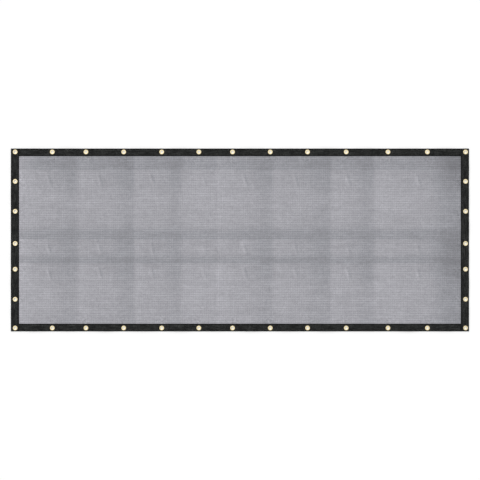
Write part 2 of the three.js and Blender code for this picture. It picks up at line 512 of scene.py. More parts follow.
def effect(
    name: str, inputs: dict[str, str], outputs: dict[str, str]
) -> Callable[[Filling], Maker]:
    """Turns a function that adds nodes into one that gives their node group, made once.

    Args:
        name: The group's name.
        inputs: Socket type of each input.
        outputs: Socket type of each output.

    Returns:
        A decorator. The function that it takes is given the tree's helper and the group's inputs,
        and returns the group's outputs.
    """

    def decorate(fill: Filling) -> Maker:
        """Puts the making of the group around the function."""

        def give() -> bpy.types.NodeTree:
            """Gives the group, and makes it the first time."""
            if name in bpy.data.node_groups:
                return bpy.data.node_groups[name]
            tree = bpy.data.node_groups.new(name, "ShaderNodeTree")
            for way, sockets in {"INPUT": inputs, "OUTPUT": outputs}.items():
                for label, kind in sockets.items():
                    tree.interface.new_socket(name=label, in_out=way, socket_type=kind)
            nodes = Nodes(tree)
            source = nodes.add("NodeGroupInput")
            sink = nodes.add("NodeGroupOutput")
            made = fill(nodes, {label: source.outputs[label] for label in inputs})
            for label, socket in made.items():
                tree.links.new(socket, sink.inputs[label])
            return tree

        return give

    return decorate


@effect("uneven_tone", {"Vector": VECTOR, "Scale": FLOAT, "Contrast": FLOAT}, {"Value": FLOAT})
def grain_effect(nodes: Nodes, given: dict) -> dict:
    """Adds an uneven, slightly streaky tone about 1, of a coarse and a fine noise."""
    coarse = nodes.noise(given["Vector"], given["Scale"], detail=2.0)
    finer = nodes.math("MULTIPLY", given["Scale"], 7.3)
    fine = nodes.noise(given["Vector"], finer, detail=2.0, roughness=0.6)
    mean = nodes.math("MULTIPLY_ADD", fine, 0.5, nodes.math("MULTIPLY", coarse, 0.5))
    swing = nodes.math("SUBTRACT", mean, 0.5)
    return {"Value": nodes.math("MULTIPLY_ADD", swing, given["Contrast"], 1.0)}


@effect(
    "settled_dust",
    {"Color": COLOUR, "Vector": VECTOR, "Scale": FLOAT, "Amount": FLOAT, "Gather": FLOAT},
    {"Color": COLOUR},
)
def dust_effect(nodes: Nodes, given: dict) -> dict:
    """Adds pale dust that lies on a colour in soft patches, where the gather mask lets it."""
    cloudy = nodes.noise(given["Vector"], given["Scale"], detail=4.0, roughness=0.62)
    patches = nodes.remap(cloudy, 0.42, 0.75)
    mask = nodes.product(patches, given["Gather"], given["Amount"])
    return {"Color": nodes.blend(mask, given["Color"], DUST)}


@effect(
    "knit",
    {"Vector": VECTOR, "Chain Pitch": FLOAT, "Yarn Pitch": FLOAT, "Sway": FLOAT},
    {"Height": FLOAT, "Gap": FLOAT},
)
def knit_effect(nodes: Nodes, given: dict) -> dict:
    """Adds upright chains of loops, tied by slanting laid-in yarns, and the gaps between them."""
    sway = nodes.math("SUBTRACT", nodes.noise(given["Vector"], scale=45.0, detail=2.0), 0.5)
    x, y, _ = nodes.apart(given["Vector"])
    x = nodes.math("MULTIPLY_ADD", sway, given["Sway"], x)
    y = nodes.math("MULTIPLY_ADD", sway, given["Sway"], y)
    chain = nodes.waves(x, given["Chain Pitch"])
    slant = nodes.math("PINGPONG", x, given["Chain Pitch"])
    tilted = nodes.math("MULTIPLY_ADD", slant, 0.45, y)
    yarn = nodes.waves(tilted, given["Yarn Pitch"])
    loops = nodes.waves(y, given["Yarn Pitch"])
    looped = nodes.product(nodes.math("MULTIPLY_ADD", loops, 0.45, 0.55), chain)
    height = nodes.math("MAXIMUM", looped, nodes.product(yarn, 0.8))
    return {"Height": height, "Gap": nodes.remap(height, 0.22, 0.5, 1.0, 0.0)}


@effect("fine_ribs", {"Vector": VECTOR, "Place": FLOAT, "Pitch": FLOAT}, {"Value": FLOAT})
def rib_effect(nodes: Nodes, given: dict) -> dict:
    """Adds fine ribs that wander a little and come and go along their length.

    The place is the one across the ribs, and the vector is squeezed along them.
    """
    wander = nodes.math("SUBTRACT", nodes.noise(given["Vector"], scale=5.0), 0.5)
    across = nodes.math("MULTIPLY_ADD", wander, RIB_WANDER, given["Place"])
    ribs = nodes.waves(across, given["Pitch"])
    cloudy = nodes.noise(given["Vector"], scale=26.0, detail=2.0, roughness=0.6)
    patches = nodes.remap(cloudy, 0.36, 0.64, 0.4, 1.0)
    return {"Value": nodes.product(nodes.math("POWER", ribs, 2.0), patches)}


def new_material(name: str) -> tuple[bpy.types.Material, Nodes, bpy.types.Node]:
    """Starts a material with one shader.

    Args:
        name: The material's name.

    Returns:
        The material, its node helper and its shader.
    """
    material = bpy.data.materials.new(name)
    material.use_nodes = True
    nodes = Nodes(material.node_tree)
    shader = nodes.add("ShaderNodeBsdfPrincipled")
    output = nodes.add("ShaderNodeOutputMaterial")
    nodes.tree.links.new(shader.outputs["BSDF"], output.inputs["Surface"])
    return material, nodes, shader


@dataclass(frozen=True)
class Mottle:
    """One size of the knit's uneven tone.

    Attributes:
        squeeze: How much the pattern is drawn out, below 1, along X and Y.
        scale: Patches in a metre.
        contrast: How strong they are.
    """

    squeeze: Triple
    scale: float
    contrast: float


@dataclass(frozen=True)
class KnitFinish:
    """Grey knitted polyethylene.

    Attributes:
        yarn: Colour of the yarn.
        shaded: Its cooler colour where painted shade darkens the bands.
        chain_pitch: Distance between the upright chains.
        yarn_pitch: Distance between the laid-in yarns.
        sway: How far the chains and yarns stray from their lines.
        rib_pitch: Distance between the cross ribs.
        rib_contrast: How strong they are.
        wale_pitch: Distance between the fainter upright ribs.
        wale_contrast: How strong they are.
        yarn_tones: Brightness low in the knit and on top of it.
        tint_tones: Brightness of the bands where the tint is all shaded, and all plain.
        roughness: Roughness low in the knit and on top of it.
        sheer: How much of the ground shows through a gap.
        mottles: The uneven tone, from cloudy patches to single yarns.
        speckle: The part of it that the grommets' pull makes stronger.
        puckered: How much stronger.
    """

    yarn: Triple = (0.3280, 0.3250, 0.3515)
    shaded: Triple = (0.3235, 0.3260, 0.3540)
    chain_pitch: float = 3.1 * MM
    yarn_pitch: float = 2.3 * MM
    sway: float = 1.6 * MM
    rib_pitch: float = 15.5 * MM
    rib_contrast: float = 0.24
    wale_pitch: float = 14.4 * MM
    wale_contrast: float = 0.10
    yarn_tones: Pair = (0.72, 1.12)
    tint_tones: Pair = (0.86, 1.06)
    roughness: Pair = (0.85, 0.58)
    sheer: float = 0.3
    mottles: tuple[Mottle, ...] = (
        Mottle((1.0, 0.7, 1.0), 9.0, 0.16),
        Mottle((0.7, 1.0, 1.0), 42.0, 0.4),
        Mottle((1.0, 0.14, 1.0), 110.0, 0.33),
        Mottle((0.1, 1.0, 1.0), 120.0, 0.33),
    )
    speckle: Mottle = Mottle((1.0, 1.0, 1.0), 75.0, 0.6)
    puckered: float = 3.0

    def build(self) -> bpy.types.Material:
        """Makes the material. It reads the mesh's fold_shade_and_light and pucker attributes."""
        material, nodes, shader = new_material("grey_knit")
        place = nodes.place()
        # The painted shade and light of the folds and creases, as a brightness about 1.
        tone = nodes.share("fold_shade_and_light")
        knit = nodes.group(
            knit_effect(),
            Vector=place,
            Chain_Pitch=self.chain_pitch,
            Yarn_Pitch=self.yarn_pitch,
            Sway=self.sway,
        )
        x, y, _ = nodes.apart(place)
        sideways = nodes.vector("MULTIPLY", place, (0.2, 1.0, 1.0))
        upright = nodes.vector("MULTIPLY", place, (1.0, 0.2, 1.0))
        ribs = nodes.group(rib_effect(), Vector=sideways, Place=y, Pitch=self.rib_pitch)["Value"]
        wales = nodes.group(rib_effect(), Vector=upright, Place=x, Pitch=self.wale_pitch)["Value"]
        value = tone
        for pattern, contrast in ((ribs, self.rib_contrast), (wales, self.wale_contrast)):
            ribbed = nodes.math("MULTIPLY_ADD", pattern, contrast, 1 - contrast * RIB_MEAN)
            value = nodes.product(value, ribbed)
        stronger = nodes.math("MULTIPLY_ADD", nodes.share("pucker"), self.puckered, 1.0)
        contrasts = [mottle.contrast for mottle in self.mottles]
        contrasts.append(nodes.product(stronger, self.speckle.contrast))
        for mottle, contrast in zip((*self.mottles, self.speckle), contrasts):
            drawn = nodes.vector("MULTIPLY", place, mottle.squeeze)
            grain = nodes.group(grain_effect(), Vector=drawn, Scale=mottle.scale, Contrast=contrast)
            value = nodes.product(value, grain["Value"])
        value = nodes.product(value, nodes.remap(knit["Height"], 0.2, 1.0, *self.yarn_tones))
        # Where painted shade darkens the bands, the yarn's colour is cooler.
        tint = nodes.blend(nodes.remap(tone, *self.tint_tones), (*self.shaded, 1), (*self.yarn, 1))
        ribbed_normal = nodes.bump(ribs, 0.5 * MM, strength=0.6)
        nodes.dress(
            shader,
            Base_Color=nodes.scaled(tint, value),
            Alpha=nodes.math("MULTIPLY_ADD", knit["Gap"], -self.sheer, 1.0),
            Roughness=nodes.remap(knit["Height"], 0.0, 1.0, *self.roughness),
            Normal=nodes.bump(knit["Height"], 0.5 * MM, strength=0.5, normal=ribbed_normal),
            Specular_IOR_Level=0.3,
        )
        return material


@dataclass(frozen=True)
class TapeFinish:
    """Black woven tape. Its pattern follows the map named run: u along the tape, v across it.

    Attributes:
        yarn: Colour of the yarn.
        rubbed_and_lit: Colour of the yarn along the middle of the tape, from wear and from painted
            light on its crown.
        cord_pitch: Distance between the lengthwise cords of the weave.
        pick_pitch: Distance between the yarns that cross them.
    """

    yarn: Colour = (0.0042, 0.0044, 0.0043, 1)
    rubbed_and_lit: Colour = (0.0325, 0.0345, 0.0332, 1)
    cord_pitch: float = 1.7 * MM
    pick_pitch: float = 1.1 * MM

    def build(self) -> bpy.types.Material:
        """Makes the material."""
        material, nodes, shader = new_material("black_tape")
        run = nodes.add("ShaderNodeUVMap", uv_map="run").outputs["UV"]
        place = nodes.place()
        along, across, _ = nodes.apart(run)
        edges = nodes.share("edge_share")
        drawn = nodes.vector("MULTIPLY", run, (14.0, 120.0, 1.0))
        streaks = nodes.noise(drawn, scale=1.0, roughness=0.6)
        patches = nodes.noise(place, scale=165.0, roughness=0.6)
        # Wear, and painted light where the crown faces up, make the middle of the tape lighter than
        # its edges.
        rub_and_light = nodes.product(
            nodes.remap(edges, 0.25, 0.6, 1.0, 0.0),
            nodes.remap(streaks, 0.38, 0.62, 0.2, 1.0),
            nodes.remap(patches, 0.36, 0.62),
        )
        worn_and_lit = nodes.blend(rub_and_light, self.yarn, self.rubbed_and_lit)
        dusty = nodes.group(
            dust_effect(), Color=worn_and_lit, Vector=place, Scale=24.0, Amount=0.035, Gather=1.0
        )
        cords = nodes.waves(across, self.cord_pitch)
        turned = nodes.math("MULTIPLY_ADD", across, 0.5, along)
        picks = nodes.waves(turned, self.pick_pitch)
        weave = nodes.math("MULTIPLY_ADD", picks, 0.45, cords)
        nodes.dress(
            shader,
            Base_Color=dusty["Color"],
            Roughness=nodes.remap(weave, 0.2, 1.4, 0.9, 0.62),
            Normal=nodes.bump(weave, 0.35 * MM, strength=0.7),
            Specular_IOR_Level=0.12,
        )
        return material


@dataclass(frozen=True)
class BrassFinish:
    """Pressed brass, polished, with a little patina where it sees no wear, and painted shade round
    its rim.

    Attributes:
        bright: Colour of the polished metal.
        tarnished_and_shaded: Colour of the painted shade round the rim, and of the patina under the
            flange.
    """

    bright: Colour = (0.81, 0.715, 0.48, 1)
    tarnished_and_shaded: Colour = (0.42, 0.31, 0.14, 1)

    def build(self) -> bpy.types.Material:
        """Makes the material. It reads the grommets' shelter attribute."""
        material, nodes, shader = new_material("pressed_brass")
        place = nodes.place()
        shelter_and_rim_shade = nodes.share("shelter_and_rim_shade")
        grain = nodes.group(grain_effect(), Vector=place, Scale=160.0, Contrast=1.4)["Value"]
        # The mask holds patina under the flange and painted shade round the rim.
        tarnish_and_rim_shade = nodes.remap(nodes.product(shelter_and_rim_shade, grain), 0.15, 1.0)
        plain = nodes.blend(tarnish_and_rim_shade, self.bright, self.tarnished_and_shaded)
        dusty = nodes.group(
            dust_effect(), Color=plain, Vector=place, Scale=300.0, Amount=0.12, Gather=shelter_and_rim_shade
        )
        drawn = nodes.vector("MULTIPLY", place, (1.0, 6.0, 1.0))
        scratches = nodes.noise(drawn, scale=420.0, roughness=0.7)
        scratched = nodes.remap(scratches, 0.4, 0.75, 0.36, 0.5)
        nodes.dress(
            shader,
            Base_Color=dusty["Color"],
            Roughness=nodes.math("MULTIPLY_ADD", tarnish_and_rim_shade, 0.2, scratched),
            Normal=nodes.bump(scratches, 0.04 * MM, strength=0.35),
            Metallic=1.0,
        )
        return material


@dataclass(frozen=True)
class ThreadFinish:
    """Black bonded thread, twisted, with a slight gloss."""

    colour: Triple = (0.016, 0.016, 0.017)
    twist_pitch: float = 0.7 * MM

    def build(self) -> bpy.types.Material:
        """Makes the material."""
        material, nodes, shader = new_material("black_thread")
        place = nodes.place()
        grain = nodes.group(grain_effect(), Vector=place, Scale=90.0, Contrast=0.8)["Value"]
        x, y, _ = nodes.apart(place)
        twist = nodes.waves(nodes.math("ADD", x, y), self.twist_pitch)
        nodes.dress(
            shader,
            Base_Color=nodes.scaled(self.colour, grain),
            Roughness=nodes.remap(twist, 0.0, 1.0, 0.6, 0.42),
            Normal=nodes.bump(twist, 0.12 * MM, strength=0.6),
            Specular_IOR_Level=0.3,
        )
        return material


@dataclass(frozen=True)
class GroundFinish:
    """A plain pale studio floor."""

    colour: Triple = (0.93, 0.93, 0.93)

    def build(self) -> bpy.types.Material:
        """Makes the material."""
        material, nodes, shader = new_material("pale_floor")
        grain = nodes.group(grain_effect(), Vector=nodes.place(), Scale=3.0, Contrast=0.01)["Value"]
        colour = nodes.scaled(self.colour, grain)
        nodes.dress(shader, Base_Color=colour, Roughness=0.9, Specular_IOR_Level=0.1)
        return material


def as_mesh(name: str, bm: bmesh.types.BMesh) -> bpy.types.Mesh:
    """Turns a bmesh into a mesh of that name, and frees it."""
    mesh = bpy.data.meshes.new(name)
    bm.to_mesh(mesh)
    bm.free()
    return mesh


def in_scene(name: str, data: bpy.types.ID) -> bpy.types.Object:
    """Makes an object of that name and puts it in the scene."""
    made = bpy.data.objects.new(name, data)
    bpy.context.scene.collection.objects.link(made)
    return made


def along_x(
    bm: bmesh.types.BMesh, shape: list[object], stride: float, steps: int, copied: bool
) -> None:
    """Draws out or copies a shape along X.

    Args:
        bm: The mesh.
        shape: Its vertices, edges and faces that are drawn out or copied.
        stride: Distance of one step.
        steps: Number of steps.
        copied: Whether each step is a copy, and not joined to the last.
    """
    bmesh.ops.spin(
        bm,
        geom=shape,
        cent=(0, 0, 0),
        axis=(1, 0, 0),
        dvec=(stride, 0, 0),
        angle=0.0,
        steps=steps,
        use_duplicate=copied,
    )


def finished(
    name: str, bm: bmesh.types.BMesh, material: bpy.types.Material
) -> bpy.types.Object:
    """Makes an object of a mesh, smooth, with its material and its place on the root body.

    Args:
        name: The piece's name.
        bm: Its mesh, which is freed.
        material: Its material.

    Returns:
        The object.
    """
    mesh = as_mesh(name, bm)
    mesh.materials.append(material)
    mesh.shade_smooth()
    piece = in_scene(name, mesh)
    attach(piece, "root")
    return piece


@dataclass(frozen=True)
class MeshPanel:
    """The cut length of knitted mesh, with its edges inside the tape.

    Attributes:
        lay: How the cloth lies.
        shades_down: Bands of painted shade and light that run down the mesh.
        shades_across: Bands of painted shade and light that run across it.
        tuck: Depth of the mesh's edge inside the tape.
        thick: Thickness of the knit.
        columns: Number of faces across.
        rows: Number of faces down.
        crease_light: How much painted light brightens a full crease.
        pucker_reach: How far a grommet's pull puckers the knit.
        band_share: Share of the upright bands' painted shade and light far below a cross fold.
        band_peak: The same just below a cross fold.
        band_reach: Distance over which it fades from one to the other.
    """

    lay: Lay
    shades_down: tuple[Shade, ...]
    shades_across: tuple[Shade, ...]
    tuck: float = 13 * MM
    thick: float = 0.8 * MM
    columns: int = 352
    rows: int = 136
    crease_light: float = 0.2
    pucker_reach: float = 42 * MM
    band_share: float = 0.72
    band_peak: float = 1.3
    band_reach: float = 150 * MM

    @property
    def cut(self) -> Pair:
        """The cut size, flat."""
        return WIDTH - 2 * (SIDE_TAPE - self.tuck), HEIGHT - 2 * (END_TAPE - self.tuck)

    def tone(self, from_left: float, from_top: float) -> float:
        """Gives the painted shade and light of the folds and creases at a place, as a brightness
        about 1.
        """
        down = sum(shade.change(from_left) for shade in self.shades_down)
        across = sum(shade.change(from_top) for shade in self.shades_across)
        creased = sum(crease.light(from_left, from_top) for crease in self.lay.creases)
        past_folds = [from_top - fold.at_mm * MM for fold in self.lay.cross_folds]
        nearest = min((past for past in past_folds if past > 0), default=0.0)
        fading = math.exp(-((nearest / self.band_reach) ** 2))
        down *= self.band_share + (self.band_peak - self.band_share) * fading
        return (1 + down) * (1 + across) * (1 + self.crease_light * creased)

    def pucker(self, from_left: float, from_top: float) -> float:
        """Gives how much the knit is puckered by the nearest grommet's pull, from 0 to 1."""
        places = from_edges(from_left, from_top, SIDE_TAPE, END_TAPE)
        nearest = min(
            math.hypot(inset, along - stop)
            for edge, (inset, along) in places.items()
            for stop in self.lay.runs[edge].stops
        )
        return math.exp(-((nearest / self.pucker_reach) ** 2))

    def build(self, material: bpy.types.Material) -> bpy.types.Object:
        """Makes the mesh panel.

        Args:
            material: Its finish.

        Returns:
            The panel, which stands for the CAD node.
        """
        bm = bmesh.new()
        bmesh.ops.create_grid(bm, x_segments=self.columns, y_segments=self.rows, size=0.5)
        # Each point holds the painted shade and light of the folds and creases.
        tone = bm.verts.layers.float.new("fold_shade_and_light")
        pucker = bm.verts.layers.float.new("pucker")
        cut_width, cut_height = self.cut
        for vert in bm.verts:
            x, y = vert.co.x * cut_width, vert.co.y * cut_height
            from_left, from_top = x + WIDTH / 2, HEIGHT / 2 - y
            vert.co = (x, y, self.lay.height(from_left, from_top))
            vert[tone] = self.tone(from_left, from_top)
            vert[pucker] = self.pucker(from_left, from_top)
        panel = finished("mesh_cloth", bm, material)
        wall = panel.modifiers.new("thickness", "SOLIDIFY")
        wall.thickness = self.thick
        wall.offset = 0.0
        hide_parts("mesh_panel")
        return panel


@dataclass(frozen=True)
class Tape:
    """One edge's tape, folded over the mesh, with a hole under each grommet.

    Attributes:
        edge: The edge that it binds.
        run: That edge's grommets and lifts.
        width: Finished width.
        start: Where the tape starts along the edge.
        end: Where it ends.
        holes: Middle of each hole, along the edge.
        inset: Distance of the holes' middles from the outer edge.
        ends_pinched: Whether the tape is sewn shut at its ends.
        layer: Thickness of one layer.
        puff: How far the front stands proud between grommets.
        puff_roundness: Power of its section's curve. A lower one is fuller.
        pinch: How far the layers are drawn together at a sewn end.
        pinch_reach: Distance from the end over which they are.
        rows_in: Distance of each sewn row from the inner edge.
        row_dip: How far a row draws the front in.
        row_width: Half width of that dip.
        row_flank: Place of a section's point beside a row, as a share of that half width.
        bevel: Width of the bevel at the front's inner edge.
        front_shares: Places of points across the front, as shares of the width.
        back_shares: The same across the back, from the inner edge.
        inside_share: The same for the point inside the back layer.
        wear_and_light_power: Power of the rise of edge_share towards the tape's edges, where the
            wear and the painted light fade.
        step: Distance between sections.
        fold_facets: Number of faces round the fold.
        hole_radius: Radius of a hole.
        hole_facets: Number of faces round it.
        punch_depth: Length of the punch that cuts it.
    """

    edge: Edge
    run: Run
    width: float
    start: float
    end: float
    holes: tuple[float, ...]
    inset: float
    ends_pinched: bool

    layer: float = 0.7 * MM
    puff: float = 0.9 * MM
    puff_roundness: float = 0.8
    pinch: float = 0.7 * MM
    pinch_reach: float = 10 * MM
    rows_in: Pair = (3.5 * MM, 8.0 * MM)
    row_dip: float = 0.35 * MM
    row_width: float = 1.3 * MM
    row_flank: float = 0.8
    bevel: float = 0.3 * MM
    front_shares: tuple[float, ...] = (0.1, 0.2, 0.3, 0.4, 0.5, 0.6, 0.7)
    back_shares: Pair = (0.6, 0.3)
    inside_share: float = 0.5
    wear_and_light_power: int = 3
    step: float = 10 * MM
    fold_facets: int = 8
    hole_radius: float = 9.4 * MM
    hole_facets: int = 32
    punch_depth: float = 20 * MM

    @property
    def cut(self) -> Pair:
        """The cut size, flat."""
        return 2 * self.width, self.end - self.start

    def place(self, along: float, inward: float, height: float) -> Vector:
        """Puts a point of the tape on the windscreen.

        Args:
            along: Distance along the edge, from the left or the top end.
            inward: Distance from the outer edge.
            height: Height above the ground.

        Returns:
            The point.
        """
        if self.edge.upright:
            side = -1 if self.edge is Edge.LEFT else 1
            return Vector((side * (WIDTH / 2 - inward), HEIGHT / 2 - along, height))
        side = -1 if self.edge is Edge.BOTTOM else 1
        return Vector((along - WIDTH / 2, side * (HEIGHT / 2 - inward), height))

    def crown(self, along: float, inward: float) -> float:
        """Gives how far the front layer stands proud of flat, between grommets."""
        share = self.run.arch(along)[1]
        inner = self.width - self.rows_in[1]
        dome = math.sin(math.pi * min(max(inward / inner, 0.0), 1.0)) ** self.puff_roundness
        dips = sum(
            math.exp(-(((self.width - row - inward) / self.row_width) ** 2)) for row in self.rows_in
        )
        return self.puff * share * dome - self.row_dip * dips

    def pinched(self, along: float) -> float:
        """Gives how far the front and back are drawn together at a sewn end."""
        if not self.ends_pinched:
            return 0.0
        from_end = min(along - self.start, self.end - along)
        return self.pinch * (1 - smooth(from_end, self.pinch_reach))

    def section(self) -> list[Pair]:
        """Lists the points of the tape's section, as (inward, height), round the fold and back."""
        outer = (TAPE_TOP - TAPE_BOTTOM) / 2
        inner = outer - self.layer
        middle = TAPE_BOTTOM + outer
        near_rows = [
            self.width - row + side * self.row_width
            for row in reversed(self.rows_in)
            for side in (-self.row_flank, 0.0, self.row_flank)
        ]
        spaced = [self.width * share for share in self.front_shares]
        front = [*spaced, *near_rows, self.width - self.bevel]
        # The back has one point beside each row.
        back = [self.width, *near_rows[::-3], *(self.width * share for share in self.back_shares)]
        turns = [math.pi * (k / self.fold_facets - 0.5) for k in range(self.fold_facets + 1)]
        points = [(inward, TAPE_BOTTOM) for inward in back]
        points += [(outer * (1 - math.cos(t)), middle + outer * math.sin(t)) for t in turns]
        points += [(inward, TAPE_TOP) for inward in front]
        points += [(self.width, TAPE_TOP - self.bevel)]
        points += [(inward, TAPE_TOP - self.layer) for inward in [self.width, *reversed(spaced)]]
        points += [
            (self.layer + inner * (1 - math.cos(t)), middle + inner * math.sin(t))
            for t in reversed(turns[1:-1])
        ]
        points += [(self.width * self.inside_share, TAPE_BOTTOM + self.layer)]
        points += [(self.width, TAPE_BOTTOM + self.layer)]
        return points

    def sweep(self) -> bmesh.types.BMesh:
        """Sweeps the section along the edge, and closes its ends."""
        bm = bmesh.new()
        verts = [bm.verts.new((self.start, y, z)) for y, z in self.section()]
        ring = [bm.edges.new(pair) for pair in zip(verts, verts[1:] + verts[:1])]
        count = round((self.end - self.start) / self.step)
        stride = (self.end - self.start) / count
        along_x(bm, verts + ring, stride, count, copied=False)
        open_edges = [edge for edge in bm.edges if edge.is_boundary]
        bmesh.ops.holes_fill(bm, edges=open_edges, sides=0)
        return bm

    def build(self, material: bpy.types.Material) -> bpy.types.Object:
        """Makes the tape, with its holes cut.

        Args:
            material: Its finish.

        Returns:
            The tape, which stands for the CAD node.
        """
        bm = self.sweep()
        run = bm.loops.layers.uv.new("run")
        share = bm.verts.layers.float.new("edge_share")
        middle = (TAPE_TOP + TAPE_BOTTOM) / 2
        for vert in bm.verts:
            side = 1.0 if vert.co.z > middle else -1.0
            for loop in vert.link_loops:
                loop[run].uv = (vert.co.x, vert.co.y * side)
            # edge_share rises towards the edges, where the middle's wear and painted light fade.
            vert[share] = abs(2 * vert.co.y / self.width - 1) ** self.wear_and_light_power
        for vert in bm.verts:
            along, inward, height = vert.co
            half = (height - middle) / (TAPE_TOP - middle)
            if height > middle + HAIR:
                height += self.crown(along, inward) * half
            height -= self.pinched(along) * half
            vert.co = self.place(along, inward, height + self.run.lift(along))
        bmesh.ops.recalc_face_normals(bm, faces=bm.faces)
        tape = finished(f"tape_{self.edge.value}", bm, material)
        self.cut_holes(tape)
        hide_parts(f"binding_{self.edge.value}")
        return tape

    def cut_holes(self, tape: bpy.types.Object) -> None:
        """Cuts the holes for the grommets' barrels through both layers."""
        bm = bmesh.new()
        for along in self.holes:
            bmesh.ops.create_cone(
                bm,
                cap_ends=True,
                segments=self.hole_facets,
                radius1=self.hole_radius,
                radius2=self.hole_radius,
                depth=self.punch_depth,
                matrix=Matrix.Translation(self.place(along, self.inset, TAPE_TOP)),
            )
        mesh = as_mesh("punch", bm)
        punch = in_scene("punch", mesh)
        cut = tape.modifiers.new("holes", "BOOLEAN")
        cut.operation = "DIFFERENCE"
        cut.solver = "EXACT"
        cut.object = punch
        settled = bpy.data.meshes.new_from_object(
            tape.evaluated_get(bpy.context.evaluated_depsgraph_get())
        )
        tape.modifiers.clear()
        whole = tape.data
        tape.data = settled
        settled.name = whole.name
        bpy.data.meshes.remove(whole)
        bpy.data.objects.remove(punch)
        bpy.data.meshes.remove(mesh)

    def sew(self, material: bpy.types.Material, sewing: "Sewing") -> bpy.types.Object:
        """Makes the two sewn rows on the front and the back of the tape.

        Args:
            material: The thread's finish.
            sewing: The stitch's sizes.

        Returns:
            The rows, as one piece.
        """
        bm = bmesh.new()
        for row in self.rows_in:
            inward = self.width - row
            for front in (True, False):
                sewing.add_row(bm, self, inward, front)
        bmesh.ops.recalc_face_normals(bm, faces=bm.faces)
        return finished(f"sewing_{self.edge.value}", bm, material)


@dataclass(frozen=True)
class Sewing:
    """A row of lockstitches: each shows as a short length of thread that dives in at both ends.

    Attributes:
        pitch: Distance from stitch to stitch.
        length: Length of thread that shows.
        radius: Half the thread's thickness.
        proud: How far the thread's middle stands above the tape.
        lean: Most that a stitch leans off its row, as a slope.
        end_margin: Length of the tape's ends without stitches.
        group: Number of stitches that are copied as one.
    """

    pitch: float = 6.5 * MM
    length: float = 5.4 * MM
    radius: float = 0.55 * MM
    proud: float = 0.05 * MM
    lean: float = 0.06
    end_margin: float = 3 * MM
    group: int = 20

    def add_row(self, bm: bmesh.types.BMesh, tape: Tape, inward: float, front: bool) -> None:
        """Adds one row of stitches.

        Args:
            bm: The mesh that takes them.
            tape: The tape that they hold.
            inward: Distance of the row from the outer edge.
            front: Whether the row shows on the front.
        """
        length = tape.end - tape.start - 2 * self.end_margin
        groups = round(length / (self.group * self.pitch))
        count = groups * self.group
        pitch = length / count
        row = bmesh.new()
        shape = Matrix.Diagonal((self.length / 2, self.radius, self.radius, 1))
        bmesh.ops.create_icosphere(row, subdivisions=1, radius=1.0, matrix=shape)
        for stride, copies in ((pitch, self.group), (pitch * self.group, groups)):
            along_x(row, [*row.verts, *row.edges, *row.faces], stride, copies - 1, copied=True)
        chance = Random(f"{tape.edge.value} {inward:.4f} {front}")
        leans = [chance.uniform(-self.lean, self.lean) for _ in range(count)]
        surface = TAPE_TOP + self.proud if front else TAPE_BOTTOM - self.proud
        for vert in row.verts:
            which = min(max(round(vert.co.x / pitch), 0), count - 1)
            off = vert.co.x - which * pitch
            along = tape.start + self.end_margin + pitch / 2 + vert.co.x
            level = surface + tape.run.lift(along)
            if front:
                level += tape.crown(along, inward)
            side = inward + vert.co.y + leans[which] * off
            vert.co = tape.place(along, side, level + vert.co.z)
        mesh = as_mesh("row", row)
        bm.from_mesh(mesh)
        bpy.data.meshes.remove(mesh)


